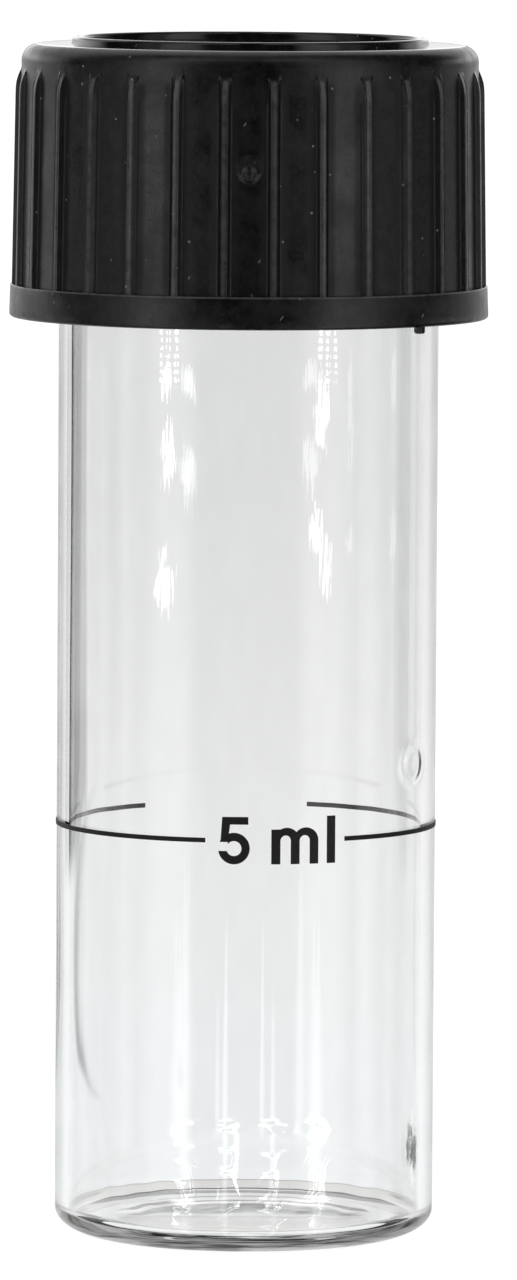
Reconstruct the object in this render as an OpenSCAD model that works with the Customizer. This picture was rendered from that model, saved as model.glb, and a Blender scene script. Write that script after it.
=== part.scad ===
// Glass sample vial with a ribbed screw cap.
// The origin is the centre of the base, +Z runs up to the cap, and -Y is the side with the numeral.

/* [Glass vial] */
// Outer diameter of the tube
tube_d = 19.4; // [17:0.1:24]
// Thickness of the tube's wall
glass_wall = 0.7; // [0.6:0.05:1.1]
// Height of the glass from base to mouth
vial_h = 58; // [50:0.5:80]
// Thickness of the base at its thinnest
base_t = 1; // [0.9:0.05:2.5]
// How far in under the base the heel's oval curve starts
heel_w = 2.2; // [1.6:0.05:2.6]
// How far up the wall the heel's oval curve ends
heel_h = 1.3; // [1:0.05:2]
// Radius of the fillet round the inner floor
floor_r = 0.5; // [0.4:0.1:2]
// Radius of the polished edges of the mouth
rim_r = 0.25; // [0.1:0.01:0.27]
// Width of the hollow under the base
punt_d = 13; // [8:0.5:13.5]
// Depth of the hollow under the base
punt_h = 0.3; // [0.1:0.05:0.4]

/* [Neck thread] */
// Rise of the thread in one turn
thread_pitch = 3.175; // [2.9:0.025:3.6]
// Length of the thread in turns
thread_turns = 1.5; // [1.2:0.1:1.9]
// Height of the glass thread above the tube
thread_h = 0.95; // [0.7:0.05:1.1]
// Width of the glass thread at its foot
thread_foot_w = 1.9; // [1.6:0.1:2]
// Width of the glass thread at its crest
thread_crest_w = 0.7; // [0.5:0.05:0.9]
// Distance from the mouth down to the thread's upper end
thread_drop = 1.9; // [1.5:0.1:3]
// Gap between the glass thread and the cap thread that bears on it
thread_play = 0.12; // [0.08:0.01:0.2]

/* [Volume mark] */
// Thickness of the printed ring line
line_w = 0.235; // [0.15:0.005:0.4]
// Thickness of the ink
ink_t = 0.04; // [0.03:0.005:0.08]
// Height of the numeral
text_h = 2.4; // [1.8:0.1:3]
// Turn of the lettering away from the front
text_turn = 10.4; // [0:0.1:30]

/* [Screw cap] */
// Play between the glass thread's crest and the cap's bore
bore_play = 0.15; // [0.1:0.01:0.25]
// Thickness of the skirt between the ribs, at the top
skirt_wall = 0.85; // [0.7:0.05:1.5]
// Height of the cap from its lower edge to its flat top
cap_h = 13.9; // [12:0.1:16]
// Thickness of the top at its rim
top_t = 1.95; // [1.7:0.05:2.5]
// Angle by which the skirt flares downwards, in degrees
draft = 0.9; // [0:0.1:1.5]
// Radius of the top edge
top_edge_r = 0.85; // [0.3:0.05:1.1]
// Number of grip ribs
rib_count = 30; // [20:1:36]
// Height of the ribs above the skirt
rib_h = 0.3; // [0.15:0.01:0.5]
// Width of a rib's crest
rib_w = 0.43; // [0.3:0.01:0.8]
// Width that each flank adds at a rib's foot
rib_flank = 0.2; // [0.05:0.01:0.3]
// Length over which a rib fades out at its top
rib_run = 1.45; // [0.8:0.05:2.5]
// Height of the smooth band above the ribs
band_h = 1.25; // [1.1:0.05:2.5]
// Height of the flange at the skirt's foot
flange_h = 1.66; // [1:0.02:2.5]
// How far the flange stands out past the ribs
flange_lip = 0.06; // [0.02:0.01:0.4]
// Outer diameter of the raised ring on the top
ring_d = 18.14; // [14:0.02:19]
// Height of the raised ring
ring_h = 0.37; // [0.2:0.01:0.6]
// Width of the raised ring's lip
ring_w = 0.5; // [0.4:0.01:1]
// Depth of the recess below the raised ring's lip
recess_depth = 1; // [0.7:0.05:1.2]
// Height of the moulding gate's dimple above the cap's lower edge
gate_up = 7.85; // [5:0.05:9]
// Diameter of the gate's dimple
gate_d = 0.7; // [0.4:0.05:1.2]
// Depth of the gate's dimple
gate_depth = 0.12; // [0.05:0.01:0.2]
// Width of the small nub under the flange
nub_w = 0.48; // [0.3:0.02:1]
// How far the nub hangs below the flange
nub_h = 0.33; // [0.1:0.01:0.6]

/* [Liner] */
// Thickness of the sealing liner
liner_t = 1; // [0.6:0.05:1.5]
// Gap between the liner's edge and the cap's bore
liner_gap = 0.15; // [0.1:0.01:0.3]

/* [Hidden] */
$fn = 96;

// Overlap that lets one solid run into another, or a cut run past a face
over = 0.5;

// The glass
tube_r = tube_d / 2;
bore_r = tube_r - glass_wall;
punt_r = punt_d / 2;
punt_ball_r = (punt_r * punt_r + punt_h * punt_h) / (2 * punt_h);
thread_crest_r = tube_r + thread_h;

// The line stands where the vial holds 5 ml and a small allowance, given in cubic millimetres
mark_volume = 5130;
fillet_centroid = (10 - 3 * PI) / (12 - 3 * PI);
fillet_volume = 2 * PI * (bore_r - fillet_centroid * floor_r) * (1 - PI / 4) * floor_r * floor_r;
line_z = base_t + (mark_volume + fillet_volume) / (PI * bore_r * bore_r);

// The lettering: places along the tube and stroke widths, as shares of the numeral's height
five_x = -0.973;
m_x = 0.324;
l_x = 1.129;
gap_left_x = -1.58;
gap_right_x = 1.453;
upright_w = 0.19;
bar_w = 0.16;

// Angles of the line's two arcs, from the front towards +X
left_arc = [-145, text_turn + print_turn(gap_left_x)];
right_arc = [text_turn + print_turn(gap_right_x), 160];

// The cap, from the inside out and from the top down
cap_bore_r = thread_crest_r + bore_play;
skirt_r = cap_bore_r + skirt_wall;
ceiling_z = vial_h + liner_t;
top_z = ceiling_z + top_t;
lip_z = top_z + ring_h;
recess_z = lip_z - recess_depth;
cap_z = top_z - cap_h;
flange_z = cap_z + flange_h;
rib_top_z = top_z - band_h;
rib_arc_r = (rib_run * rib_run + rib_h * rib_h) / (2 * rib_h);
flange_r = skirt_r_at(flange_z) + rib_h + flange_lip;
flange_flare = 0.06;
flange_edge_r = 0.18;
gate_z = cap_z + gate_up;
gate_ball_r = (gate_d * gate_d / 4 + gate_depth * gate_depth) / (2 * gate_depth);
nub_turn = 46;
nub_depth = 0.5;
nub_rise = 0.4;
ring_r = ring_d / 2;
ring_edge_r = 0.18;
lead_in = 0.35;

// Threads: how deep their feet and their faded ends run into the wall, and over what angle they fade
thread_root = 0.3;
thread_sink = 0.1;
thread_fade = 35;
thread_step = 10;
flank_slope = (thread_foot_w - thread_crest_w) / 2 / thread_h;
thread_end_z = vial_h - thread_drop;
thread_start_z = thread_end_z - thread_turns * thread_pitch;
cap_thread_gap = 0.2;
cap_thread_h = cap_bore_r - tube_r - cap_thread_gap;
cap_thread_crest_w = 0.6;
cap_thread_foot_w = cap_thread_crest_w + 2 * flank_slope * cap_thread_h;
// Both flanks have one slope, so their distance along the axis is the same at every radius
bearing_offset = (thread_foot_w + cap_thread_crest_w) / 2
    - flank_slope * (cap_bore_r - cap_thread_h - tube_r) + thread_play;

// Angle that a place x of the lettering takes up on the tube
function print_turn(x) = x * text_h / tube_r * 180 / PI;

// Radius of the skirt between its ribs at height z
function skirt_r_at(z) = skirt_r + (rib_top_z - z) * tan(draft);

// Share of the thread's full height at angle a, rising and falling smoothly at its two ends
function fade(a, end) = sin(90 * min(1, a / thread_fade, (end - a) / thread_fade));

// Square with two opposite corners at a and b
module box2(a, b) {
    translate(a) square(b - a);
}

// What a fillet of radius r takes off a convex corner at p; out points from p away from the body
module corner_off(p, r, out) {
    difference() {
        translate([p.x - (out.x > 0 ? r : over), p.y - (out.y > 0 ? r : over)])
            square(r + over);
        translate([p.x - out.x * r, p.y - out.y * r]) circle(r);
    }
}

// Helical ridge on a wall of radius wall_r. side is 1 for a ridge that stands outwards.
module thread_ridge(wall_r, side, height, foot_w, crest_w, start_z) {
    end = 360 * thread_turns;
    rings = round(end / thread_step);
    slope = (foot_w - crest_w) / 2 / height;
    points = [
        for (i = [0:rings])
            let (
                a = i * end / rings,
                h = height * fade(a, end) - thread_sink * (1 - fade(a, end)),
                z = start_z + thread_pitch * a / 360,
                root_w = foot_w + 2 * slope * thread_root,
                tip_w = foot_w - 2 * slope * h
            )
            for (p = [[-thread_root, -root_w], [h, -tip_w], [h, tip_w], [-thread_root, root_w]])
                [(wall_r + side * p.x) * cos(a), (wall_r + side * p.x) * sin(a), z + p.y / 2]
    ];
    sides = [
        for (i = [0:rings - 1], k = [0:3])
            let (n = (k + 1) % 4)
            each [
                [4 * i + k, 4 * i + n, 4 * i + 4 + n],
                [4 * i + k, 4 * i + 4 + n, 4 * i + 4 + k]
            ]
    ];
    ends = [[0, 2, 1], [0, 3, 2], [4 * rings, 4 * rings + 1, 4 * rings + 2],
            [4 * rings, 4 * rings + 2, 4 * rings + 3]];
    faces = [for (f = concat(sides, ends)) side > 0 ? f : [f[2], f[1], f[0]]];
    polyhedron(points, faces, convexity = 6);
}

// What the heel's quarter oval takes off the corner between wall and base
module heel_off() {
    difference() {
        translate([tube_r - heel_w, -over]) square([heel_w + over, heel_h + over]);
        translate([tube_r - heel_w, heel_h]) scale([heel_w, heel_h]) circle(1);
    }
}

module glass_section() {
    difference() {
        box2([0, 0], [tube_r, vial_h]);
        box2([0, base_t], [bore_r - floor_r, vial_h + over]);
        box2([0, base_t + floor_r], [bore_r, vial_h + over]);
        translate([bore_r - floor_r, base_t + floor_r]) circle(floor_r);
        translate([0, punt_h - punt_ball_r]) circle(punt_ball_r, $fn = 240);
        heel_off();
        corner_off([tube_r, vial_h], rim_r, [1, 1]);
        corner_off([bore_r, vial_h], rim_r, [-1, 1]);
    }
}

module glass_vial() {
    color([0.86, 0.9, 0.9, 0.4]) {
        rotate_extrude() glass_section();
        thread_ridge(tube_r, 1, thread_h, thread_foot_w, thread_crest_w, thread_start_z);
    }
}

// The thin cylinder of ink that the whole print is cut from
module ink_shell() {
    difference() {
        translate([0, 0, line_z - text_h]) cylinder(r = tube_r + ink_t, h = 2 * text_h);
        translate([0, 0, line_z - text_h - over]) cylinder(r = tube_r, h = 2 * (text_h + over));
    }
}

// Lays a flat drawing on the tube, centred at angle a from the front
module print_at(a) {
    intersection() {
        ink_shell();
        rotate([0, 0, a]) translate([0, 0, line_z]) rotate([90, 0, 0])
            linear_extrude(tube_r + over) children();
    }
}

module line_arc(ends) {
    rotate([0, 0, ends[0] - 90]) rotate_extrude(angle = ends[1] - ends[0])
        translate([tube_r, line_z - line_w / 2]) square([ink_t, line_w]);
}

// Letters, drawn on a base line at y = 0 for a numeral of height 1
module numeral_five() {
    left = -0.25;
    neck_left = -0.285;
    neck_right = -0.13;
    neck_y = 0.47;
    bowl_r = 0.333;
    bowl_w = 0.175;
    open_y = 0.28;
    translate([left, 1 - bar_w]) square([0.55, bar_w]);
    polygon([[left, 1], [neck_left, neck_y], [neck_right, neck_y], [left + upright_w, 1]]);
    difference() {
        translate([0, bowl_r]) circle(bowl_r);
        translate([0, bowl_r]) circle(bowl_r - bowl_w);
        box2([-bowl_r - over, open_y], [neck_right, neck_y]);
    }
}

module letter_m() {
    x_height = 0.77;
    leg_gap = 0.415;
    arch_r = 0.275;
    arch_hole_r = 0.112;
    arch_y = x_height - arch_r;
    serif_cut = 0.035;
    for (i = [-1:1])
        translate([i * leg_gap - upright_w / 2, 0])
            square([upright_w, i < 0 ? x_height - serif_cut : arch_y]);
    for (i = [0, 1]) {
        right = i * leg_gap + upright_w / 2;
        difference() {
            translate([right - arch_r, arch_y]) circle(arch_r);
            translate([right - upright_w - arch_hole_r, arch_y]) circle(arch_hole_r);
            box2([right - 2 * arch_r - over, arch_y - arch_r - over], [right + over, arch_y]);
        }
    }
}

module letter_l() {
    translate([-upright_w / 2, 0]) square([upright_w, 1]);
}

// Places a letter at x along the lettering, its middle level with the line
module print_letter(x) {
    print_at(text_turn + print_turn(x)) scale(text_h) translate([0, -0.5]) children();
}

module volume_mark() {
    color([0.03, 0.03, 0.03]) {
        line_arc(left_arc);
        line_arc(right_arc);
        print_letter(five_x) numeral_five();
        print_letter(m_x) letter_m();
        print_letter(l_x) letter_l();
    }
}

module cap_section() {
    difference() {
        union() {
            polygon([
                [0, cap_z], [skirt_r_at(cap_z), cap_z], [skirt_r, rib_top_z],
                [skirt_r, top_z], [0, top_z]
            ]);
            polygon([
                [0, cap_z], [flange_r + flange_flare, cap_z],
                [flange_r, flange_z], [0, flange_z]
            ]);
            box2([0, top_z - over], [ring_r, lip_z]);
        }
        box2([0, cap_z - over], [cap_bore_r, ceiling_z]);
        box2([0, recess_z], [ring_r - ring_w, lip_z + over]);
        corner_off([skirt_r, top_z], top_edge_r, [1, 1]);
        corner_off([ring_r, lip_z], ring_edge_r, [1, 1]);
        corner_off([ring_r - ring_w, lip_z], ring_edge_r, [-1, 1]);
        corner_off([flange_r + flange_flare, cap_z], flange_edge_r, [1, -1]);
        polygon([
            [0, cap_z - over], [cap_bore_r + lead_in + over, cap_z - over],
            [cap_bore_r + lead_in, cap_z], [cap_bore_r, cap_z + lead_in], [0, cap_z + lead_in]
        ]);
    }
}

// The space that the ribs fill: a thick skin on the skirt that fades out at the top along an arc
module rib_section() {
    skin_r = skirt_r - skirt_wall / 2;
    foot_z = cap_z + flange_h / 2;
    fade_z = rib_top_z - rib_run;
    crest_r = skirt_r_at(fade_z) + rib_h;
    polygon([
        [skin_r, foot_z], [skirt_r_at(foot_z) + rib_h, foot_z],
        [crest_r, fade_z], [skin_r, fade_z]
    ]);
    intersection() {
        box2([skin_r, fade_z], [crest_r, rib_top_z + rib_run]);
        translate([crest_r - rib_arc_r, fade_z]) circle(rib_arc_r);
    }
}

// One rib before it is cut to height: a bar whose sides slope together outwards
module rib_bar() {
    depth = skirt_wall;
    crest_over = 0.05;
    slope = rib_flank / rib_h;
    foot = rib_w / 2 + slope * (rib_h + depth);
    tip = rib_w / 2 - slope * crest_over;
    crest = rib_h + crest_over;
    translate([skirt_r, 0, rib_top_z]) rotate([0, -draft, 0]) translate([0, 0, -cap_h])
        linear_extrude(cap_h + band_h)
            polygon([[-depth, -foot], [crest, -tip], [crest, tip], [-depth, foot]]);
}

module ribs() {
    intersection() {
        rotate_extrude() rib_section();
        for (i = [0:rib_count - 1])
            rotate([0, 0, (i + 0.5) * 360 / rib_count - 90]) rib_bar();
    }
}

// Mark that the moulding gate leaves on the front of the skirt
module gate_dimple() {
    translate([0, -skirt_r_at(gate_z) - gate_ball_r + gate_depth, gate_z]) sphere(gate_ball_r);
}

// Stub of plastic left on the underside of the flange
module flange_nub() {
    rotate([0, 0, nub_turn]) translate([-nub_w / 2, -flange_r, cap_z - nub_h])
        cube([nub_w, nub_depth, nub_h + nub_rise]);
}

module screw_cap() {
    color([0.09, 0.09, 0.09]) {
        difference() {
            rotate_extrude() cap_section();
            gate_dimple();
        }
        flange_nub();
        ribs();
        thread_ridge(cap_bore_r, -1, cap_thread_h, cap_thread_foot_w, cap_thread_crest_w,
                     thread_start_z - bearing_offset);
    }
}

module cap_liner() {
    color([0.85, 0.85, 0.82])
        translate([0, 0, vial_h]) cylinder(r = cap_bore_r - liner_gap, h = liner_t);
}

glass_vial();
volume_mark();
screw_cap();
cap_liner();
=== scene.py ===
"""Looks of the glass sample vial: clear glass, printed line and numeral, black ribbed screw cap, liner."""

import math

import bpy
import numpy as np
from mathutils import Matrix, Vector


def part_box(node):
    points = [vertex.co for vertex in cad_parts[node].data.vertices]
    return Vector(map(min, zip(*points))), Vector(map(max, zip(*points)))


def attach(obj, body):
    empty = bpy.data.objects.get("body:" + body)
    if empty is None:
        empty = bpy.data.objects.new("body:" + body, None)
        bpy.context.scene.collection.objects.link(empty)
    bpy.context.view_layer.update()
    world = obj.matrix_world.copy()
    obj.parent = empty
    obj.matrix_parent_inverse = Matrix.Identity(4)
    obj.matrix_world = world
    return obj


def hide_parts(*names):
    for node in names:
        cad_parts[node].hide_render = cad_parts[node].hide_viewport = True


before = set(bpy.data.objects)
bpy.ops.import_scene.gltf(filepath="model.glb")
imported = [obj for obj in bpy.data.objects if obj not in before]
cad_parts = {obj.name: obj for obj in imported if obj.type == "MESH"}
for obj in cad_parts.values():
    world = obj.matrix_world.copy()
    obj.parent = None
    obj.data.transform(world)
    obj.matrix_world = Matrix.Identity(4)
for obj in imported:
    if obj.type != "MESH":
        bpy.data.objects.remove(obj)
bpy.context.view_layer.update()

MM = 0.001

# Sizes of the CAD solids, in millimetres, where their boxes don't give them.
# Glass: wall, base and heel, the hollow under the base, and the thread under the cap
TUBE_R = 9.7
GLASS_WALL = 0.7
BASE_T = 1.0
HEEL_W = 2.2
HEEL_H = 1.3
FLOOR_R = 0.5
RIM_R = 0.25
PUNT_R = 6.5
PUNT_H = 0.3
THREAD_PITCH = 3.175
THREAD_TURNS = 1.5
THREAD_H = 0.95
THREAD_FOOT = 1.9
THREAD_CREST = 0.7
THREAD_DROP = 1.9
THREAD_FADE = 35
THREAD_SOFT = 0.15

# Cap: skirt, top, bore and its thread
CAP_BORE_R = 10.8
SKIRT_R = 11.65
DRAFT = math.radians(0.9)
CAP_H = 13.9
TOP_EDGE_R = 0.85
BAND_H = 1.25
RING_R = 9.07
RING_H = 0.37
RING_W = 0.5
RECESS = 1.0
EDGE_R = 0.18
LEAD_IN = 0.35
CAP_THREAD_H = 0.9
CAP_THREAD_CREST = 0.6
CAP_THREAD_FOOT = CAP_THREAD_CREST + CAP_THREAD_H * (THREAD_FOOT - THREAD_CREST) / THREAD_H
CAP_THREAD_SHIFT = -1.2437

# Ribs: height, half width at the foot, slope of the flanks, run-out at the top, crowned crest, soft root
RIB_COUNT = 30
RIB_H = 0.3
RIB_FOOT = 0.31
RIB_STEEP = 0.5
RIB_RUN = 1.45
RIB_SOFT = 0.03
RUN_SOFT = 0.06
CREST_HALF = 0.24
CREST_DROP = 0.16
ROOT_H = 0.04
ROOT_W = 0.18
ROOT_FROM = 0.15

# Flange at the cap's foot, with its flared lower edge and softened upper one
FLANGE_H = 1.66
FLANGE_LIP = 0.06
FLANGE_FLARE = 0.06
FLANGE_SOFT = 0.06
FLANGE_R = SKIRT_R + (CAP_H - BAND_H - FLANGE_H) * math.tan(DRAFT) + RIB_H + FLANGE_LIP
LEDGE_IN = 0.005
LEDGE_UP = 0.001
# a little less than the solid's, so that this finer circle stays inside the solid's box
FOOT_R = FLANGE_R + FLANGE_FLARE - 0.012

# Gate mark on the skirt's front: dimple, its rim (higher below), a knob and a faint ring
GATE_UP = 7.85
GATE_R = 0.35
GATE_CORE = 0.12
GATE_DEPTH = 0.12
GATE_RIM_H = 0.03
GATE_RIM_LOWER = 0.05
GATE_RIM_OFF = 0.06
GATE_LINE_W = 0.08
KNOB_RIGHT = 0.16
KNOB_UP = 0.62
KNOB_W = 0.14
KNOB_H = 0.05
GATE_RING_UP = 0.3
GATE_RING_R = 0.62
GATE_RING_H = 0.035

# Stub of flash under the flange
NUB_TURN = math.radians(46)
NUB_W = 0.48
NUB_H = 0.33
NUB_DEPTH = 0.5
NUB_IN = 0.02

# Liner, its softened edges and the ring that the glass pressed into it
LINER_R = CAP_BORE_R - 0.15
LINER_SOFT = 0.12
DENT = 0.05
DENT_HALF = 0.3
DENT_REACH = 0.8

# Uneven glass: drawing lines along the tube, and ripples over the base at the front. RIPPLE_FRONT says
# how far to the front they start and are full, where 0 is a side and 1 is straight ahead.
DRAW_LINE = 0.0022
RIPPLE = 0.005
RIPPLE_TOP = 7.0
RIPPLE_FULL = 5.2
RIPPLE_FRONT = (0.5, 0.85)
RIPPLE_BIAS = 1.6

# How fine the meshes are: columns round the axis, rings, and steps between rings or columns
GLASS_COLUMNS = 288
BORE_COLUMNS = 240
LINER_COLUMNS = 144
PUNT_RINGS = 15
PLAIN_RINGS = 16
INSIDE_RINGS = 50
FLOOR_RINGS = 26
DENT_RINGS = 25
RIPPLE_STEP = 0.16
THREAD_STEP = 0.11
BORE_STEP = 0.15
RIB_COLUMNS = (0.08, 0.14, 0.18, 0.21, 0.25, 0.29, 0.33, 0.4, 0.5, 0.65, 0.9)
GATE_COLUMNS = np.arange(0.08, 0.8, 0.08)

_, vial_high = (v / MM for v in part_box("glass_vial"))
_, cap_high = (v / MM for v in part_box("screw_cap"))
liner_low, liner_high = (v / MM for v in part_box("cap_liner"))
vial_h = vial_high.z
bore_r = TUBE_R - GLASS_WALL
ceiling_z = liner_high.z
lip_z = cap_high.z
top_z = lip_z - RING_H
recess_z = lip_z - RECESS
cap_z = top_z - CAP_H
flange_z = cap_z + FLANGE_H
gate_z = cap_z + GATE_UP
rib_top_z = top_z - BAND_H
thread_z = vial_h - THREAD_DROP - THREAD_TURNS * THREAD_PITCH
thread_low = thread_z - 1.2


# ---------------------------------------------------------------- shapes

def oval(cx, cz, wide, high, start, end, steps):
    """Points of an upright oval's arc in the (r, z) plane, angles in degrees, both ends included."""
    angles = np.radians(np.linspace(start, end, steps + 1))
    return [(cx + wide * math.cos(a), cz + high * math.sin(a)) for a in angles]


def arc(cx, cz, radius, start, end, steps):
    """The same for a circle."""
    return oval(cx, cz, radius, radius, start, end, steps)


def line(a, b, steps):
    """Points from a to b in the (r, z) plane, without a."""
    return [tuple(np.array(a) + (np.array(b) - np.array(a)) * i / steps) for i in range(1, steps + 1)]


def smooth_min(a, b, width):
    """The smaller of a and b, rounded where they cross."""
    h = np.clip(0.5 + 0.5 * (b - a) / width, 0, 1)
    return b * (1 - h) + a * h - width * h * (1 - h)


def smooth_step(low, high, x):
    """0 at low, 1 at high and smooth between them."""
    t = np.clip((x - low) / (high - low), 0, 1)
    return t * t * (3 - 2 * t)


def hump(x, width):
    """1 where x is 0, falling smoothly to nothing about two widths away."""
    return np.exp(-((x / width) ** 2))


def thread_height(theta, z, start_z, height, foot, crest):
    """Height of a helical ridge over its wall at angle theta (radians) and height z."""
    slope = (foot - crest) / 2 / height
    end = 360 * THREAD_TURNS
    turn = np.degrees(theta) % 360
    best = np.zeros_like(turn + z)
    for whole in (0, 360):
        a = turn + whole
        fade = np.sin(np.pi / 2 * np.clip(np.minimum(a, end - a) / THREAD_FADE, 0, 1))
        away = np.abs(z - start_z - THREAD_PITCH * a / 360)
        flank = (foot / 2 - away) / slope
        ridge = smooth_min(flank, height * fade, THREAD_SOFT)
        ridge = np.where(a > end, 0, np.maximum(ridge, 0))
        best = np.maximum(best, ridge)
    return best


def zipper(a, ta, b, tb):
    """Triangles between two closed rings with different numbers of points, sorted by angle."""
    faces = []
    i = j = 0
    na, nb = len(a), len(b)
    while i < na or j < nb:
        next_a = ta[i + 1] if i + 1 < na else ta[0] + 2 * math.pi
        next_b = tb[j + 1] if j + 1 < nb else tb[0] + 2 * math.pi
        if j >= nb or (i < na and next_a <= next_b):
            faces.append((a[i], a[(i + 1) % na], b[j % nb]))
            i += 1
        else:
            faces.append((a[i % na], b[(j + 1) % nb], b[j]))
            j += 1
    return faces


class Turned:
    """A closed mesh of rings round the Z axis, from one pole to the other."""

    def __init__(self):
        self.points = []
        self.faces = []
        self.last = None

    def pole(self, z):
        """Adds a point on the axis, which starts or closes the mesh."""
        index = len(self.points)
        self.points.append((0, 0, z))
        if self.last is not None:
            ring, _ = self.last
            n = len(ring)
            self.faces += [(ring[k], ring[(k + 1) % n], index) for k in range(n)]
        self.last = ([index], None)

    def ring(self, theta, r, z):
        """Adds a ring. theta is an array, r and z are arrays or numbers."""
        n = len(theta)
        r = np.broadcast_to(r, n)
        z = np.broadcast_to(z, n)
        start = len(self.points)
        self.points += list(zip(r * np.cos(theta), r * np.sin(theta), z))
        ring = list(range(start, start + n))
        if self.last is not None:
            old, old_theta = self.last
            if old_theta is None:
                self.faces += [(old[0], ring[(k + 1) % n], ring[k]) for k in range(n)]
            elif len(old) == n:
                self.faces += [
                    (old[k], old[(k + 1) % n], ring[(k + 1) % n], ring[k]) for k in range(n)
                ]
            else:
                self.faces += zipper(old, old_theta, ring, theta)
        self.last = (ring, theta)

    def rings(self, theta, profile):
        """Adds a plain ring for each (r, z) of profile."""
        for r, z in profile:
            self.ring(theta, r, z)

    def build(self, name, sharp=None):
        """Makes the object. Edges over sharp degrees stay sharp."""
        mesh = bpy.data.meshes.new(name)
        mesh.from_pydata([[c * MM for c in p] for p in self.points], [], self.faces)
        mesh.polygons.foreach_set("use_smooth", [True] * len(mesh.polygons))
        if sharp is not None:
            mesh.set_sharp_from_angle(angle=math.radians(sharp))
        mesh.validate()
        mesh.update()
        obj = bpy.data.objects.new(name, mesh)
        bpy.context.scene.collection.objects.link(obj)
        return obj


class Waves:
    """Smooth uneven surface round the tube: a sum of waves at random slants."""

    def __init__(self, seed, count, turns, rise):
        rng = np.random.default_rng(seed)
        self.turns = rng.integers(turns[0], turns[1], count)
        self.rise = rng.uniform(-rise, rise, count)
        self.phase = rng.uniform(0, 2 * math.pi, count)
        self.size = rng.uniform(0.5, 1, count)

    def at(self, theta, z):
        """Height of the surface at angle theta (radians) and height z, about -1 to 1."""
        total = sum(
            size * np.cos(turns * theta + rise * z + phase)
            for turns, rise, phase, size in zip(self.turns, self.rise, self.phase, self.size)
        )
        return total / math.sqrt(len(self.size))


DRAW_LINES = Waves(seed=3, count=14, turns=(5, 34), rise=0.22)
FLAME = Waves(seed=8, count=22, turns=(10, 34), rise=3.4)


def flame_ripple(theta, z, low, high):
    """Ripples that the flame left over the base, at the front. They grow from height low to height high."""
    front = smooth_step(*RIPPLE_FRONT, -np.sin(theta))
    near = smooth_step(RIPPLE_TOP, RIPPLE_FULL, z) * front
    near = near * smooth_step(low, high, z)
    return RIPPLE * near * (FLAME.at(theta, z) - RIPPLE_BIAS)


def outer_dip(theta, z):
    """How far the flame that closed the base left the outside uneven, always inwards."""
    return flame_ripple(theta, z, low=0.3, high=HEEL_H + 0.5)


def inner_bump(theta, z):
    """Uneven inside of the tube: lines along it from drawing, and ripples over the base."""
    floor_edge = BASE_T + FLOOR_R
    ripple = flame_ripple(theta, z, low=floor_edge, high=floor_edge + 0.8)
    return DRAW_LINE * DRAW_LINES.at(theta, z) + ripple


def make_glass():
    """The tube, from the hollow under it up the outside, over the rim, down the inside and to the floor."""
    theta = np.linspace(0, 2 * math.pi, GLASS_COLUMNS, endpoint=False)
    body = Turned()
    body.pole(PUNT_H)
    punt_ball = (PUNT_R**2 + PUNT_H**2) / (2 * PUNT_H)
    for r in np.linspace(0, PUNT_R, PUNT_RINGS)[1:]:
        body.ring(theta, r, PUNT_H - punt_ball + math.sqrt(punt_ball**2 - r * r))

    heel_r = TUBE_R - HEEL_W
    foot = line((PUNT_R, 0), (heel_r, 0), 3)
    foot += oval(heel_r, HEEL_H, HEEL_W, HEEL_H, -90, 0, 32)[1:]
    for r, z in foot:
        body.ring(theta, r + outer_dip(theta, z), z)

    wall = list(np.arange(HEEL_H + RIPPLE_STEP, RIPPLE_TOP, RIPPLE_STEP))
    wall += list(np.linspace(RIPPLE_TOP, thread_low - 0.1, PLAIN_RINGS))
    for z in wall:
        body.ring(theta, TUBE_R + outer_dip(theta, z), z)
    for z in np.arange(thread_low, vial_h - RIM_R, THREAD_STEP):
        ridge = thread_height(theta, z, thread_z, THREAD_H, THREAD_FOOT, THREAD_CREST)
        body.ring(theta, TUBE_R + ridge, z)
    body.rings(theta, arc(TUBE_R - RIM_R, vial_h - RIM_R, RIM_R, 0, 90, 6))
    body.rings(theta, arc(bore_r + RIM_R, vial_h - RIM_R, RIM_R, 90, 180, 6))

    floor_edge = BASE_T + FLOOR_R
    inside = list(np.linspace(vial_h - RIM_R - 0.6, RIPPLE_TOP, INSIDE_RINGS))
    inside += list(np.arange(RIPPLE_TOP - RIPPLE_STEP, floor_edge, -RIPPLE_STEP))
    for z in inside:
        body.ring(theta, bore_r + inner_bump(theta, z), z)
    for r, z in arc(bore_r - FLOOR_R, floor_edge, FLOOR_R, 0, -90, 14):
        body.ring(theta, r + inner_bump(theta, z) * smooth_step(BASE_T, floor_edge, z), z)
    for r in np.linspace(bore_r - FLOOR_R, 0, FLOOR_RINGS)[1:-1]:
        body.ring(theta, r, BASE_T)
    body.pole(BASE_T)
    return body.build("vial_glass")


def skirt_r(z):
    """Radius of the skirt between its ribs."""
    return SKIRT_R + np.maximum(rib_top_z - z, 0) * math.tan(DRAFT)


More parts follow.
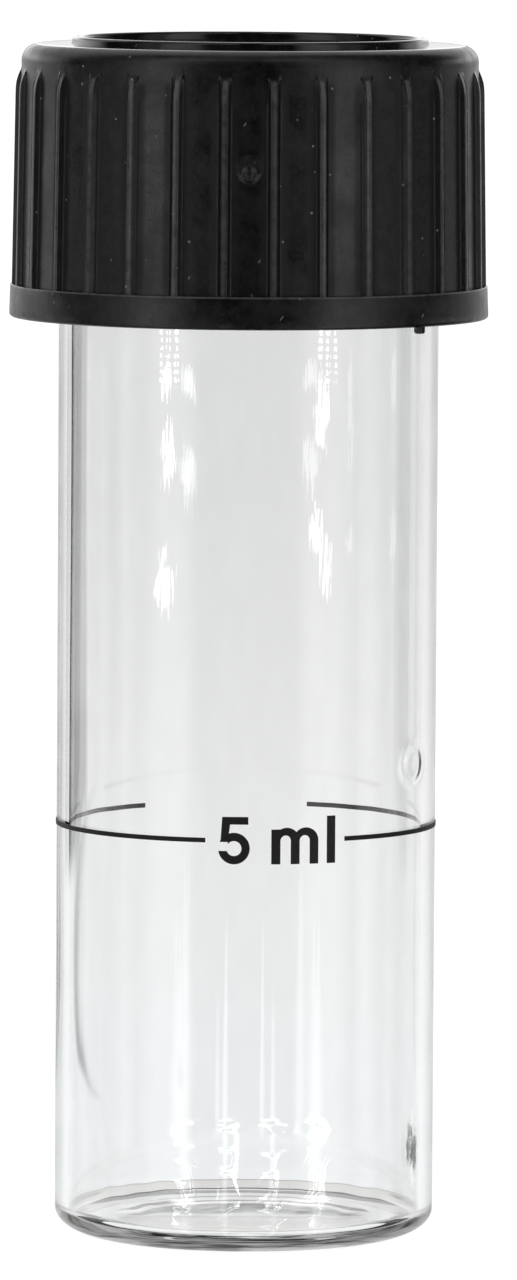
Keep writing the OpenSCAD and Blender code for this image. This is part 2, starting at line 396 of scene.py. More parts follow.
def rib_height(theta, z):
    """Height of the ribs over the skirt."""
    pitch = 2 * math.pi / RIB_COUNT
    off = (theta + math.pi / 2) % pitch - pitch / 2
    u = np.abs(off) * (skirt_r(z) + RIB_H)
    crown = RIB_H - CREST_DROP * (1 - np.sqrt(1 - np.clip(u / CREST_HALF, 0, 1) ** 2))
    flank = (RIB_FOOT - u) / RIB_STEEP
    bar = smooth_min(crown, np.maximum(flank, -RIB_H), RIB_SOFT)
    fade_z = rib_top_z - RIB_RUN
    run_r = (RIB_RUN**2 + RIB_H**2) / (2 * RIB_H)
    drop = run_r - math.sqrt(max(run_r**2 - max(z - fade_z, 0) ** 2, 0))
    ridge = smooth_min(bar, RIB_H - drop, RUN_SOFT)
    root = ROOT_H * np.exp(-np.maximum(u - RIB_FOOT, 0) / ROOT_W) * min(1 - drop / RIB_H, 1)
    return np.maximum(-smooth_min(-ridge, 0 * ridge, RIB_SOFT), 0) + np.maximum(root, 0) * (u > ROOT_FROM)


def gate_mark(theta, z):
    """Dimple of the moulding gate on the front of the skirt, with a low rim, as a change of radius."""
    across = ((theta + math.pi / 2 + math.pi) % (2 * math.pi) - math.pi) * SKIRT_R
    up = z - cap_z - GATE_UP
    away = np.sqrt(across**2 + up**2)
    below = smooth_step(0.3, -0.3, up)
    dip = -GATE_DEPTH * (1 - smooth_step(GATE_CORE, GATE_R, away))
    rim = (GATE_RIM_H + GATE_RIM_LOWER * below) * hump(away - GATE_R - GATE_RIM_OFF, GATE_LINE_W)
    knob = KNOB_H * hump(np.sqrt((across - KNOB_RIGHT) ** 2 + (up - KNOB_UP) ** 2), KNOB_W)
    wide = np.sqrt(across**2 + (up - GATE_RING_UP) ** 2)
    ring = GATE_RING_H * hump(wide - GATE_RING_R, GATE_LINE_W)
    return dip + rim + knob + ring


def cap_angles():
    """Angles of the cap's columns: dense on the ribs' flanks and round the gate."""
    pitch = 2 * math.pi / RIB_COUNT
    scale = 1 / (SKIRT_R + RIB_H)
    front = -math.pi / 2
    found = []
    for i in range(RIB_COUNT):
        centre = (i + 0.5) * pitch + front
        found += [centre + s * h * scale for h in RIB_COLUMNS for s in (-1, 1)]
        found += [centre, centre + pitch / 2]
    found += [front + s * h * scale for h in GATE_COLUMNS for s in (-1, 1)]
    return np.array(sorted(a % (2 * math.pi) for a in found))


def skirt_rows():
    """Heights of the skirt's rings: closer round the gate and where the ribs run out."""
    bands = [
        (flange_z, gate_z - 0.6, 8),
        (gate_z - 0.54, gate_z + 1.02, 20),
        (gate_z + 1.1, rib_top_z - RIB_RUN - 0.1, 3),
        (rib_top_z - RIB_RUN, rib_top_z + 0.06, 18),
    ]
    return sorted({z for low, high, count in bands for z in np.round(np.linspace(low, high, count), 3)})


def make_cap():
    """The cap, from its ceiling down the bore, round the flange, up the skirt and over the top."""
    theta = cap_angles()
    inner = np.linspace(0, 2 * math.pi, BORE_COLUMNS, endpoint=False)
    body = Turned()
    body.pole(ceiling_z)
    body.rings(inner, [(r, ceiling_z) for r in (4, 8, CAP_BORE_R - 0.1)])
    bore = list(np.arange(ceiling_z - 2, cap_z + LEAD_IN, -BORE_STEP))
    for z in [ceiling_z, ceiling_z - 0.1] + bore:
        ridge = thread_height(
            inner, z, thread_z + CAP_THREAD_SHIFT, CAP_THREAD_H, CAP_THREAD_FOOT, CAP_THREAD_CREST
        )
        body.ring(inner, CAP_BORE_R - ridge, z)
    body.rings(inner, [(CAP_BORE_R, cap_z + LEAD_IN), (CAP_BORE_R + LEAD_IN, cap_z)])

    body.rings(theta, arc(FOOT_R - EDGE_R, cap_z + EDGE_R, EDGE_R, -90, 0, 6))
    body.rings(theta, line((FOOT_R, cap_z + EDGE_R), (FLANGE_R, flange_z - FLANGE_SOFT), 4))
    body.rings(theta, arc(FLANGE_R - FLANGE_SOFT, flange_z - FLANGE_SOFT, FLANGE_SOFT, 0, 90, 4)[1:])

    # the ribs stay inside the flange's ledge, and their lowest ring stays a hair above it
    ledge_r = FLANGE_R - FLANGE_SOFT - LEDGE_IN
    rows = skirt_rows()
    for z in rows:
        r = skirt_r(z) + rib_height(theta, z) + gate_mark(theta, z)
        body.ring(theta, np.minimum(r, ledge_r), z + (LEDGE_UP if z == rows[0] else 0))

    body.rings(theta, arc(SKIRT_R - TOP_EDGE_R, top_z - TOP_EDGE_R, TOP_EDGE_R, 0, 90, 12))
    body.rings(theta, line((SKIRT_R - TOP_EDGE_R, top_z), (RING_R + 0.05, top_z), 2))
    ring_in = RING_R - RING_W
    body.rings(theta, line((RING_R, top_z + 0.02), (RING_R, lip_z - EDGE_R), 1))
    body.rings(theta, arc(RING_R - EDGE_R, lip_z - EDGE_R, EDGE_R, 0, 90, 6)[1:])
    body.rings(theta, arc(ring_in + EDGE_R, lip_z - EDGE_R, EDGE_R, 90, 180, 6))
    corner = 0.03
    body.rings(inner, [(ring_in, recess_z + corner), (ring_in - corner, recess_z)])
    body.rings(inner, [(r, recess_z) for r in (6, 3)])
    body.pole(recess_z)
    add_nub(body)
    return body.build("cap_shell", sharp=38)


def squarish(value):
    """A sine or cosine pushed outwards, for an oval with fuller corners."""
    return math.copysign(abs(value) ** 0.5, value)


def add_nub(body):
    """Small stub of flash that hangs under the flange, with a softened lower end."""
    start = len(body.points)
    out = Vector((math.sin(NUB_TURN), -math.cos(NUB_TURN)))
    turn = Vector((math.cos(NUB_TURN), math.sin(NUB_TURN)))
    tip_z = cap_z - NUB_H
    layers = [(cap_z + 0.3, 1.0), (tip_z + 0.1, 0.96), (tip_z + 0.03, 0.86), (tip_z, 0.66)]
    steps = 12
    for z, share in layers:
        for k in range(steps):
            angle = 2 * math.pi * k / steps
            across = NUB_W / 2 * share * squarish(math.cos(angle))
            along = NUB_DEPTH / 2 * share * squarish(math.sin(angle))
            place = out * (FOOT_R - NUB_IN - NUB_DEPTH / 2 + along) + turn * across
            body.points.append((place.x, place.y, z))
    for i in range(len(layers) - 1):
        for k in range(steps):
            a, b = start + i * steps + k, start + i * steps + (k + 1) % steps
            body.faces.append((a, a + steps, b + steps, b))
    body.faces.append(tuple(start + k for k in range(steps)))
    body.faces.append(tuple(start + (len(layers) - 1) * steps + k for k in reversed(range(steps))))


def make_liner():
    """Wad of the cap, with the ring that the rim of the glass pressed into it."""
    theta = np.linspace(0, 2 * math.pi, LINER_COLUMNS, endpoint=False)
    rim_mid = TUBE_R - GLASS_WALL / 2
    low = liner_low.z
    edge_in = LINER_R - LINER_SOFT
    body = Turned()
    body.pole(low)
    body.rings(theta, [(r, low) for r in (2, 4, 6, 7.4)])
    for off in np.linspace(-DENT_REACH, DENT_REACH, DENT_RINGS):
        body.ring(theta, rim_mid + off, low + DENT * math.exp(-((off / DENT_HALF) ** 4)))
    body.rings(theta, arc(edge_in, low + LINER_SOFT, LINER_SOFT, -90, 0, 4))
    body.rings(theta, arc(edge_in, ceiling_z - LINER_SOFT, LINER_SOFT, 0, 90, 4))
    body.rings(theta, [(r, ceiling_z) for r in (8, 4)])
    body.pole(ceiling_z)
    return body.build("liner_wad", sharp=50)


# ---------------------------------------------------------------- materials

def grey(value):
    """A neutral colour."""
    return (value, value, value, 1)


class Nodes:
    """Short calls for one node tree. Most return an output socket."""

    def __init__(self, tree):
        self.tree = tree
        self.tree.nodes.clear()

    def add(self, kind, **settings):
        """Adds a node and returns it."""
        node = self.tree.nodes.new(kind)
        for key, value in settings.items():
            setattr(node, key, value)
        return node

    def put(self, node, socket, value):
        """Links value if it is a socket, or sets it if it is a number or colour."""
        target = node.inputs[socket]
        if isinstance(value, bpy.types.NodeSocket):
            self.tree.links.new(value, target)
        else:
            target.default_value = value

    def math(self, operation, a, b=0.0, c=0.0):
        node = self.add("ShaderNodeMath", operation=operation)
        for i, value in enumerate((a, b, c)):
            self.put(node, i, value)
        return node.outputs[0]

    def times(self, a, b):
        return self.math("MULTIPLY", a, b)

    def plus(self, a, b):
        return self.math("ADD", a, b)

    def minus(self, a, b):
        return self.math("SUBTRACT", a, b)

    def times_plus(self, a, b, c):
        """a times b, plus c."""
        return self.math("MULTIPLY_ADD", a, b, c)

    def unsigned(self, a):
        """a without its sign."""
        return self.math("ABSOLUTE", a)

    def larger(self, a, b):
        return self.math("MAXIMUM", a, b)

    def split(self, vector):
        """The three parts of a vector."""
        node = self.add("ShaderNodeSeparateXYZ")
        self.put(node, 0, vector)
        return node.outputs

    def step(self, value, low, high, to_low=0.0, to_high=1.0):
        """Smooth step of value from low to high."""
        node = self.add("ShaderNodeMapRange", interpolation_type="SMOOTHSTEP")
        self.put(node, "Value", value)
        self.put(node, "From Min", low)
        self.put(node, "From Max", high)
        self.put(node, "To Min", to_low)
        self.put(node, "To Max", to_high)
        return node.outputs[0]

    def band(self, value, low, high, soft):
        """1 between low and high, with soft edges, and 0 outside."""
        rise = self.step(value, low - soft, low + soft)
        fall = self.step(value, high - soft, high + soft, 1.0, 0.0)
        return self.times(rise, fall)

    def mix(self, factor, a, b, kind="RGBA"):
        """a where factor is 0, b where it is 1."""
        node = self.add("ShaderNodeMix", data_type=kind)
        pins = [s for s in node.inputs if s.enabled]
        for pin, value in zip(pins, (factor, a, b)):
            if isinstance(value, bpy.types.NodeSocket):
                self.tree.links.new(value, pin)
            else:
                pin.default_value = value
        return next(s for s in node.outputs if s.enabled)

    def noise(self, vector, scale, detail=2.0, roughness=0.5):
        """Noise of 0 to 1."""
        node = self.add("ShaderNodeTexNoise")
        self.put(node, "Vector", vector)
        self.put(node, "Scale", scale)
        self.put(node, "Detail", detail)
        self.put(node, "Roughness", roughness)
        return node.outputs["Fac"]

    def bell(self, value, width):
        """1 where value is 0, falling smoothly to nothing about two widths away."""
        share = self.math("DIVIDE", value, width)
        return self.math("EXPONENT", self.times(self.times(share, share), -1))

    def stretched(self, scale, turn=(0, 0, 0)):
        """Object coordinates, turned and then times scale."""
        coord = self.add("ShaderNodeTexCoord")
        mapping = self.add("ShaderNodeMapping", vector_type="TEXTURE")
        self.put(mapping, "Vector", coord.outputs["Object"])
        self.put(mapping, "Rotation", turn)
        self.put(mapping, "Scale", tuple(1 / share for share in scale))
        return mapping.outputs[0]

    def place(self):
        """Object coordinates as they are."""
        return self.stretched((1, 1, 1))


def new_material(name):
    """A material with a Principled shader, and the calls for its nodes."""
    material = bpy.data.materials.new(name)
    material.use_nodes = True
    nodes = Nodes(material.node_tree)
    shader = nodes.add("ShaderNodeBsdfPrincipled")
    out = nodes.add("ShaderNodeOutputMaterial")
    nodes.put(out, "Surface", shader.outputs[0])
    return material, nodes, shader


def bump(nodes, shader, height, distance, strength=1.0):
    """Small relief: height times distance, faded by strength."""
    node = nodes.add("ShaderNodeBump")
    nodes.put(node, "Height", height)
    nodes.put(node, "Distance", distance)
    nodes.put(node, "Strength", strength)
    nodes.put(shader, "Normal", node.outputs[0])


def around(nodes, turn, height):
    """Millimetres across and up from a place on the wall, turn degrees to the right of the front."""
    coord = nodes.add("ShaderNodeTexCoord")
    x, y, z = nodes.split(coord.outputs["Object"])
    angle = nodes.math("ARCTAN2", x, nodes.times(y, -1))
    across = nodes.times_plus(angle, TUBE_R, -TUBE_R * math.radians(turn))
    return across, nodes.times_plus(z, 1 / MM, -height)


def blister_mark(nodes):
    """The thin ring of a blister on the glass."""
    across, up = around(nodes, turn=63, height=24.6)
    away = nodes.math("SQRT", nodes.times_plus(across, across, nodes.math("POWER", up, 2)))
    radius, line_width = 0.85, 0.3
    return nodes.bell(nodes.minus(away, radius), line_width)


def smudge_mark(nodes):
    """A knotty upright smudge low on the glass."""
    across, up = around(nodes, turn=63.6, height=4.9)
    streak = nodes.bell(across, width=0.36)
    knots = nodes.noise(nodes.place(), scale=1900, detail=3.0)
    return nodes.times(streak, nodes.times(nodes.bell(up, width=1.5), knots))


def painted_deep_glow(nodes):
    """Painted glow for paths that the heel guides round for over four bounces: it stands for the room's
    light, uneven as that is.
    """
    bounces, brightest = 4.5, 0.22
    path = nodes.add("ShaderNodeLightPath")
    guided = nodes.math("GREATER_THAN", path.outputs["Ray Depth"], bounces)
    patches = nodes.noise(nodes.place(), scale=420)
    return nodes.times(guided, nodes.step(patches, 0.46, 0.6, to_high=brightest))


def glass_material():
    """Clear glass with a blister, a smudge and a painted glow."""
    material, nodes, shader = new_material("clear_glass")
    blister = blister_mark(nodes)
    smudge = smudge_mark(nodes)
    dirt = nodes.step(smudge, 0.12, 0.42)
    tint = nodes.noise(nodes.stretched((1, 1, 0.2)), scale=140)
    clear = nodes.mix(tint, (0.985, 0.99, 0.992, 1), grey(1))
    nodes.put(shader, "Base Color", nodes.mix(dirt, clear, grey(0.05)))
    nodes.put(shader, "Roughness", 0.0)
    nodes.put(shader, "IOR", 1.5)
    nodes.put(shader, "Transmission Weight", 1.0)
    nodes.put(shader, "Emission Color", grey(1))
    # a painted glow on the glass where paths run deep
    nodes.put(shader, "Emission Strength", painted_deep_glow(nodes))
    material.cycles.emission_sampling = "NONE"
    bump(nodes, shader, nodes.plus(blister, nodes.times(smudge, 3)), distance=0.000015)
    return material


def ink_material():
    """Matt black print with a fine grain."""
    material, nodes, shader = new_material("black_print")
    grain = nodes.noise(nodes.place(), scale=9000, detail=3.0)
    nodes.put(shader, "Base Color", nodes.mix(grain, grey(0.004), grey(0.012)))
    nodes.put(shader, "Roughness", nodes.step(grain, 0.3, 0.7, 0.5, 0.75))
    return material


def specks(nodes, vector, scale, radius, share):
    """Small dots at random places: one in each Voronoi cell, in the given share of the cells."""
    cells = nodes.add("ShaderNodeTexVoronoi")
    nodes.put(cells, "Vector", vector)
    nodes.put(cells, "Scale", scale)
    dot = nodes.step(cells.outputs["Distance"], radius * 0.5, radius, 1.0, 0.0)
    chance, _, _ = nodes.split(cells.outputs["Color"])
    return nodes.times(dot, nodes.math("LESS_THAN", chance, share))


def rib_highlight_and_shade(nodes, x, y, z):
    """Masks of the painted highlight on the ribs' crests, brighter at their upper ends, and of the painted
    shade beside them.
    """
    pitch = 2 * math.pi * SKIRT_R / RIB_COUNT
    turn = nodes.math("ARCTAN2", x, nodes.times(y, -1))
    ribs = nodes.times_plus(turn, RIB_COUNT / 2 / math.pi, RIB_COUNT)
    off = nodes.unsigned(nodes.minus(nodes.math("FRACT", ribs), 0.5))
    foot = (flange_z + 0.06) * MM
    crest_full, crest_edge = 0.05, 0.18
    root_in, root_out, root_soft = 0.24, 0.68, 0.16
    # painted highlight along each crest, stronger towards its upper end
    crest = nodes.step(off, crest_full / pitch, crest_edge / pitch, 1.0, 0.0)
    crest = nodes.times(crest, nodes.band(z, foot, (rib_top_z - 0.25) * MM, soft=0.12 * MM))
    tip = nodes.step(z, (rib_top_z - 1.5) * MM, (rib_top_z - 0.6) * MM, 0.75, 1.6)
    # painted shade in the valley beside each rib's foot
    root = nodes.band(off, root_in / pitch, root_out / pitch, soft=root_soft / pitch)
    root = nodes.times(root, nodes.band(z, foot, (rib_top_z - 0.4) * MM, soft=0.3 * MM))
    return nodes.times(crest, tip), root


def flange_rim_highlight(nodes, x, y, z):
    """Mask of the painted highlight on the flange's upper edge."""
    radius = nodes.math("SQRT", nodes.times_plus(x, x, nodes.times(y, y)))
    edge = nodes.step(radius, (FLANGE_R - 0.12) * MM, (FLANGE_R - 0.06) * MM)
    return nodes.times(edge, nodes.band(z, (flange_z - 0.09) * MM, (flange_z + 0.02) * MM, soft=0.02 * MM))


def gate_scar(nodes, x, y, z):
    """Mask of the rough place round the gate, on the cap's front."""
    up = nodes.minus(z, (cap_z + GATE_UP + 0.25) * MM)
    away = nodes.math("SQRT", nodes.times_plus(x, x, nodes.math("POWER", up, 2)))
    near = nodes.step(away, 0.35 * MM, 0.8 * MM, 1.0, 0.0)
    return nodes.times(near, nodes.math("LESS_THAN", y, 0))


def plastic_material():
    """Black moulded plastic: cloudy sheen, crests with painted highlights, painted shade by the ribs, dust
    and short scratches.
    """
    material, nodes, shader = new_material("black_plastic")
    place = nodes.place()
    x, y, z = nodes.split(place)
    crest, root = rib_highlight_and_shade(nodes, x, y, z)
    rim = flange_rim_highlight(nodes, x, y, z)
    scar = gate_scar(nodes, x, y, z)
    flat = nodes.step(z, (top_z - 0.03) * MM, (top_z - 0.01) * MM)

    cloud = nodes.noise(place, scale=420, detail=4.0, roughness=0.65)
    mottle = nodes.noise(place, scale=1500, detail=4.0, roughness=0.7)
    grain = nodes.noise(place, scale=5000, detail=3.0, roughness=0.6)
    dust = specks(nodes, place, scale=1300, radius=0.11, share=0.35)
    dust = nodes.times(dust, nodes.step(grain, 0.42, 0.5))
    slanted = nodes.stretched((1, 1, 0.14), turn=(-0.4, 0.5, -0.3))
    scratch = specks(nodes, slanted, scale=1200, radius=0.05, share=0.5)
    marks = nodes.larger(dust, nodes.times(scratch, 0.8))

    body = nodes.mix(nodes.step(mottle, 0.36, 0.66), grey(0.001), (0.011, 0.011, 0.0107, 1))
    # painted shade beside the ribs' feet darkens the body colour
    body = nodes.mix(nodes.times(root, 0.8), body, grey(0.0008))
    # painted highlights on the crests and the flange's upper edge, with the lighter rough place round the
    # gate
    highlight_and_scar = nodes.larger(crest, nodes.larger(rim, nodes.times(scar, 0.1)))
    highlight_and_scar = nodes.times(highlight_and_scar, nodes.step(mottle, 0.3, 0.6, 0.45, 1.0))
    body = nodes.mix(highlight_and_scar, body, (0.085, 0.085, 0.083, 1))
    nodes.put(shader, "Base Color", nodes.mix(marks, body, (0.25, 0.25, 0.245, 1)))

    satin = nodes.step(cloud, 0.3, 0.7, 0.22, 0.40)
    polished = 0.08
    satin = nodes.mix(flat, satin, polished, "FLOAT")
    satin = nodes.times_plus(root, 0.2, satin)
    nodes.put(shader, "Roughness", nodes.times_plus(marks, 0.3, satin))
    height = nodes.times_plus(marks, 0.8, grain)
    height = nodes.times_plus(scar, mottle, height)
    bump(nodes, shader, height, distance=0.000006, strength=nodes.minus(1.0, flat))
    return material


def liner_material():
    """Off-white foamed plastic."""
    material, nodes, shader = new_material("liner_plastic")
    grain = nodes.noise(nodes.place(), scale=3000, detail=3.0)
    nodes.put(shader, "Base Color", nodes.mix(grain, (0.78, 0.78, 0.75, 1), (0.86, 0.86, 0.84, 1)))
    nodes.put(shader, "Roughness", 0.6)
    bump(nodes, shader, grain, distance=0.00001)
    return material


# ---------------------------------------------------------------- pieces

glass = make_glass()
glass.data.materials.append(glass_material())
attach(glass, "vial")
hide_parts("glass_vial")

cap = make_cap()
cap.data.materials.append(plastic_material())
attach(cap, "cap")
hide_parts("screw_cap")

liner = make_liner()
liner.data.materials.append(liner_material())
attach(liner, "liner")
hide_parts("cap_liner")

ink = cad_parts["volume_mark"].data
ink.materials.clear()
ink.materials.append(ink_material())


# ---------------------------------------------------------------- stage

# The white table: half its side and its depth under the vial in metres, its glow, and its grey
FLOOR_HALF = 4.0
FLOOR_Z = -0.00002
FLOOR_GLOW = 0.93
FLOOR_GREY = 0.28


def make_floor():
    """The white table. Only the camera sees it, and it takes the shadows."""
    mesh = bpy.data.meshes.new("floor")
    corners = [(-1, -1), (1, -1), (1, 1), (-1, 1)]
    mesh.from_pydata([(x * FLOOR_HALF, y * FLOOR_HALF, FLOOR_Z) for x, y in corners], [], [(0, 1, 2, 3)])
    floor = bpy.data.objects.new("floor", mesh)
    bpy.context.scene.collection.objects.link(floor)
    material = bpy.data.materials.new("floor")
    material.use_nodes = True
    nodes = Nodes(material.node_tree)
    glow = nodes.add("ShaderNodeEmission")
    nodes.put(glow, "Strength", FLOOR_GLOW)
    matt = nodes.add("ShaderNodeBsdfDiffuse")
    nodes.put(matt, "Color", grey(FLOOR_GREY))
    both = nodes.add("ShaderNodeAddShader")
    nodes.put(both, 0, glow.outputs[0])
    nodes.put(both, 1, matt.outputs[0])
    out = nodes.add("ShaderNodeOutputMaterial")
    nodes.put(out, "Surface", both.outputs[0])
    mesh.materials.append(material)
    floor.visible_glossy = False
    floor.visible_transmission = False
    floor.visible_diffuse = False


# The room is painted by direction, in degrees. "front" counts to the right from the camera, "behind" to
# the right from straight behind the vial, "turn" is front without its sign, and "height" counts up from
# the horizon. Strengths multiply the background's colour, which is about 0.8.
ROOM_LIGHT = 0.06
WALL_LIGHT = 0.42
WALL_TURNS = (38, 80)

# Lamps that the glass reflects, all a few degrees below its own height. Each row gives how far the lamp
# is to the right of the camera, its half width, its top, its bottom, all in degrees, and its strength.
# The outside of the front wall shows the near lamps and, further right, the side lamps. The back wall
# shows the far lamps.
NEAR_LAMPS = [
    (-50.5, 3.8, -3.52, -3.76, 9),
    (-49.5, 5.4, -3.83, -4.19, 9),
    (-51.0, 6.5, -4.51, -4.87, 9),
    (45.9, 5.6, -3.61, -4.01, 9),
    (42.9, 4.8, -4.29, -4.60, 9),
    (48.9, 4.2, -4.46, -4.76, 9),
    (64.8, 2.0, -3.45, -4.08, 2.5),
    (64.8, 3.0, -4.39, -4.56, 3),
]
SIDE_LAMPS = [
    (99.6, 3.0, -3.45, -3.79, 2),
    (99.6, 3.0, -4.27, -4.67, 2),
]
FAR_LAMPS = [
    (40.0, 5.0, -3.56, -3.75, 5),
    (40.0, 5.0, -3.96, -4.31, 5),
]
FRAY_DEPTH = 5.0

# Tall strips of light: middle, half width, top and strength. Each has a narrow full core, fades out
# STRIP_FADE half widths to its sides, and narrows to a point at its top.
STRIPS = [
    (-37.0, 3.0, -6.16, 1.8),
    (-11.6, 1.8, -6.50, 2.4),
    (17.8, 2.0, -6.87, 2.4),
    (45.6, 4.0, -6.48, 2.0),
]
STRIP_FOOT = -45
STRIP_CORE = 0.3
STRIP_FADE = 1.5
STRIP_POINT = 0.15
STRIP_TAPER = 1.0

# Between these heights the strips sway and flash, which draws jagged sparks over the base
JAG_ROWS = (-8.12, -7.6)
JAG_SWAY = 30
SPARK_HALF = (1.6, 2.9)
SPARK_LIGHT = 7.0

# A grid of small dots of light under the cap
DOT_TURNS = (41, 55)
DOT_ROWS = (-3.66, -3.36)
DOT_WIDTH = 5.2
DOT_HEIGHT = 0.042
DOT_LIGHT = 16


class Sky(Nodes):
    """The world's nodes, with the direction in degrees and the noise that frays its lamps."""

    def __init__(self, tree):
        super().__init__(tree)
        coord = self.add("ShaderNodeTexCoord")
        x, y, z = self.split(coord.outputs["Generated"])
        self.behind = self.math("DEGREES", self.math("ARCTAN2", x, y))
        self.front = self.math("DEGREES", self.math("ARCTAN2", x, self.times(y, -1)))
        self.turn = self.unsigned(self.front)
        self.height = self.math("DEGREES", self.math("ARCSINE", z))
        self.fray = self.times(self.uneven(across=0.75, up=6.0, detail=1.0), FRAY_DEPTH)

    def uneven(self, across, up, detail):
        """Noise of -0.5 to 0.5 over the directions, with features one degree divided by across and up."""
        place = self.add("ShaderNodeCombineXYZ")
        self.put(place, 0, self.times(self.front, across))
        self.put(place, 1, self.times(self.height, up))
        return self.minus(self.noise(place.outputs[0], 1.0, detail, 0.6), 0.5)

    def lamps(self, table):
        """Ovals of light, frayed like strokes of a dry brush."""
        lit = 0.0
        for centre, half, top, bottom, strength in table:
            side = self.times_plus(self.front, 1 / half, -centre / half)
            tall = top - bottom
            rise = self.times_plus(self.height, 2 / tall, -(top + bottom) / tall)
            away = self.times_plus(side, side, self.times_plus(rise, rise, self.fray))
            lit = self.plus(lit, self.step(away, 0.45, 0.85, strength, 0.0))
        return lit


def strip_light(sky):
    """The tall strips, with their sparks."""
    low = sky.band(sky.height, *JAG_ROWS, soft=0.05)
    jag = sky.uneven(across=0.13, up=6.0, detail=0.0)
    sway = sky.times(sky.times(jag, low), JAG_SWAY)
    flash = sky.times(sky.step(sky.unsigned(jag), 0.02, 0.07), low)
    light = 0.0
    for centre, half, top, strength in STRIPS:
        side = sky.unsigned(sky.plus(sky.minus(sky.front, centre), sway))
        light = sky.times_plus(sky.step(side, *SPARK_HALF, SPARK_LIGHT, 0.0), flash, light)
        taper = sky.step(sky.height, top - STRIP_TAPER, top, 1.0, STRIP_POINT)
        reach = sky.times(taper, half * STRIP_FADE)
        strip = sky.step(side, STRIP_CORE, reach, strength, 0.0)
        light = sky.times_plus(strip, sky.band(sky.height, STRIP_FOOT, top, soft=0.12), light)
    return light


def dot_light(sky):
    """The grid of dots, with gaps."""
    column = sky.math("SINE", sky.times(sky.front, math.pi / DOT_WIDTH))
    row = sky.math("SINE", sky.times(sky.height, math.pi / DOT_HEIGHT))
    dots = sky.step(sky.unsigned(sky.times(column, row)), 0.45, 0.7, 0.0, DOT_LIGHT)
    dots = sky.times(dots, sky.band(sky.turn, *DOT_TURNS, soft=1))
    dots = sky.times(dots, sky.band(sky.height, *DOT_ROWS, soft=0.02))
    return sky.times(dots, sky.step(sky.fray, -0.25, 0.2))


def dark_flag(sky):
    """A dark flag at the left behind. Its left edge lies further out above its foot."""
    foot, top = -6.2, 20
    left_at_foot, left_above = -43, -58
    left = sky.step(sky.height, foot - 0.4, foot + 0.6, left_at_foot, left_above)
    inside_left = sky.step(sky.minus(sky.behind, left), -0.6, 0.6)
    inside_right = sky.step(sky.behind, -36.5, -35.5, 1.0, 0.0)
    return sky.times(sky.times(inside_left, inside_right), sky.band(sky.height, foot, top, soft=0.16))


def dark_line(sky):
    """A thin dark line at the left behind, bowed to the left, and thinner where its ends turn in."""
    middle_height, middle_turn = -6.68, -16.7
    bow_below, bow_above = 17, 10.5
    dark_below, dark_above = 0.95, 0.55
    off = sky.plus(sky.height, -middle_height)
    curve = sky.times(sky.times(off, off), sky.step(off, -0.1, 0.1, bow_below, bow_above))
    centre = sky.minus(curve, -middle_turn)
    width = sky.times(sky.times(centre, centre), 0.011)
    stroke = sky.bell(sky.minus(sky.behind, centre), width)
    stroke = sky.times(stroke, sky.band(sky.height, -7.32, -5.9, soft=0.16))
    return sky.times(stroke, sky.step(sky.height, -6.65, -6.0, dark_below, dark_above))


def soft_shade(sky):
    """A light grey shade above the dark line, twice as dark in a core near its foot."""
    left, right = -20, -10.5
    grey_share = 0.2
    side = sky.band(sky.behind, left, right, soft=0.7)
    shade = sky.times(side, sky.step(sky.height, -6.4, -5.8, 0.0, grey_share))
    core = sky.times(side, sky.band(sky.height, -6.05, -5.35, soft=0.2))
    return sky.times_plus(core, grey_share, shade)


def floor_rings(sky):
    """Two dark rings low down, which draw the thin lines of the floor and the heel."""
    floor_dark, heel_dark = 0.96, 0.35
    rings = sky.times(sky.band(sky.height, -38, -25, soft=1), floor_dark)
    return sky.times_plus(sky.band(sky.height, -12.6, -10.2, soft=0.3), heel_dark, rings)


def backdrop(sky, under):
    """What is behind the vial: bright white, a little dimmer to the sides, with its flags and lines."""
    white_low, white_high = 1.22, 1.03
    table_dim, side_dim = -0.2, -0.22
    glare_light = 0.35
    white = sky.step(sky.height, -7.6, -3.3, white_low, white_high)
    white = sky.times(white, sky.times_plus(under, table_dim, 1.0))
    aside = sky.unsigned(sky.behind)
    dim = sky.times(sky.step(aside, 2, 8), sky.step(aside, 18, 30, side_dim, 0.0))
    white = sky.times_plus(white, dim, white)
    dark = sky.larger(dark_flag(sky), dark_line(sky))
    dark = sky.larger(dark, soft_shade(sky))
    dark = sky.larger(dark, floor_rings(sky))
    back = sky.times(white, sky.minus(1.0, dark))
    glare = sky.times(sky.band(sky.behind, -100, -59, soft=1), glare_light)
    return sky.plus(back, sky.times(glare, sky.band(sky.height, -12, 20, soft=2)))


def plastic_light(sky, near_light):
    """What is reflected: the near lamps, soft boxes and a ceiling light, and the bright room behind."""
    box_light, back_light, ceiling_light, room_light = 0.75, 1.2, 1.5, 0.9
    boxes = sky.times(sky.band(sky.turn, 32, 60, soft=5), sky.band(sky.height, -50, 60, soft=6))
    shine = sky.times_plus(boxes, box_light, near_light)
    low_back = sky.times(sky.step(sky.turn, 110, 130), sky.band(sky.height, 3, 16, soft=3))
    shine = sky.times_plus(low_back, back_light, shine)
    ceiling = sky.times(sky.band(sky.turn, 13, 31, soft=5), sky.band(sky.height, 50, 66, soft=5))
    shine = sky.times_plus(ceiling, ceiling_light, shine)
    # the bright room behind starts nearer to the camera on its left side than on its right
    left_from, right_from = 112, 140
    bright_from = sky.step(sky.front, -1, 1, left_from, right_from)
    return sky.plus(shine, sky.step(sky.minus(sky.turn, bright_from), -6, 6, 0.0, room_light))


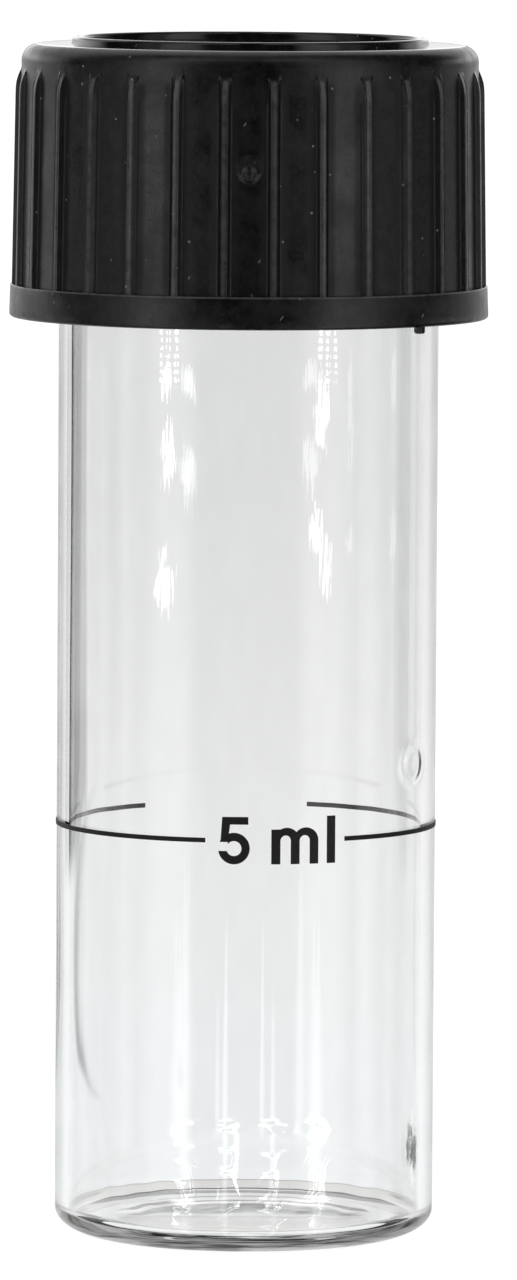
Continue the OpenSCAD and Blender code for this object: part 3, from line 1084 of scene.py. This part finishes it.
def make_world():
    """A white studio: bright behind, dim by the camera, a dark flag at the left behind, lamps in front."""
    world = bpy.data.worlds.new("studio")
    bpy.context.scene.world = world
    world.use_nodes = True
    sky = Sky(world.node_tree)

    walls = sky.times(sky.band(sky.turn, *WALL_TURNS, soft=8), WALL_LIGHT)
    room = sky.plus(sky.plus(walls, ROOM_LIGHT), strip_light(sky))
    near_light = sky.plus(sky.plus(room, dot_light(sky)), sky.lamps(NEAR_LAMPS))
    far_light = sky.plus(room, sky.lamps(FAR_LAMPS))
    # views down at the table are dimmer and warmer
    under = sky.band(sky.height, -32, -11, soft=2)
    back = backdrop(sky, under)

    # through the glass: the backdrop, and the far lamps where the back wall sends the view to the front
    level = sky.band(sky.height, -14, 30, soft=4)
    level_front = sky.times(sky.step(sky.turn, 78, 84, 1.0, 0.0), level)
    through = sky.mix(level_front, back, far_light, "FLOAT")

    # reflected: the backdrop's foot replaces the room at the sides and behind
    shine = plastic_light(sky, near_light)
    table = sky.times(sky.band(sky.height, -10, -3.3, soft=0.3), sky.step(sky.turn, 88, 100))
    shine = sky.plus(sky.mix(table, shine, back, "FLOAT"), sky.lamps(SIDE_LAMPS))

    path = sky.add("ShaderNodeLightPath")
    diffuse_light, camera_white = 0.6, 1.3
    seen = sky.mix(path.outputs["Is Transmission Ray"], shine, through, "FLOAT")
    seen = sky.mix(path.outputs["Is Diffuse Ray"], seen, diffuse_light, "FLOAT")
    seen = sky.mix(path.outputs["Is Camera Ray"], seen, camera_white, "FLOAT")

    # neutral higher up, cool lower down, and warm down at the table
    low_down = sky.step(sky.height, -7.5, -5.5, 1.0, 0.0)
    wall_colour = sky.mix(low_down, grey(0.8), (0.782, 0.796, 0.8, 1))
    background = sky.add("ShaderNodeBackground")
    sky.put(background, "Strength", seen)
    sky.put(background, "Color", sky.mix(under, wall_colour, (0.8, 0.793, 0.775, 1)))
    out = sky.add("ShaderNodeOutputWorld")
    sky.put(out, "Surface", background.outputs[0])


# The lens and place come from the ellipses of the rim, line and base: 0.555 m away, 5 degrees down
CAMERA_AT = (0.0006, -0.5546, 0.0790)
CAMERA_TILT = math.radians(85.0)
CAMERA_ROLL = math.radians(0.35)
CAMERA_LENS = 305.86
CAMERA_SENSOR = 36


def make_camera():
    """The photo's view."""
    data = bpy.data.cameras.new("camera")
    data.sensor_width = CAMERA_SENSOR
    data.lens = CAMERA_LENS
    data.clip_start = 0.01
    data.clip_end = 20
    camera = bpy.data.objects.new("camera", data)
    bpy.context.scene.collection.objects.link(camera)
    tilt = Matrix.Rotation(CAMERA_TILT, 4, "X") @ Matrix.Rotation(CAMERA_ROLL, 4, "Z")
    camera.matrix_world = Matrix.Translation(CAMERA_AT) @ tilt
    bpy.context.scene.camera = camera


make_floor()
make_world()
make_camera()
bpy.context.scene.view_settings.view_transform = "Standard"
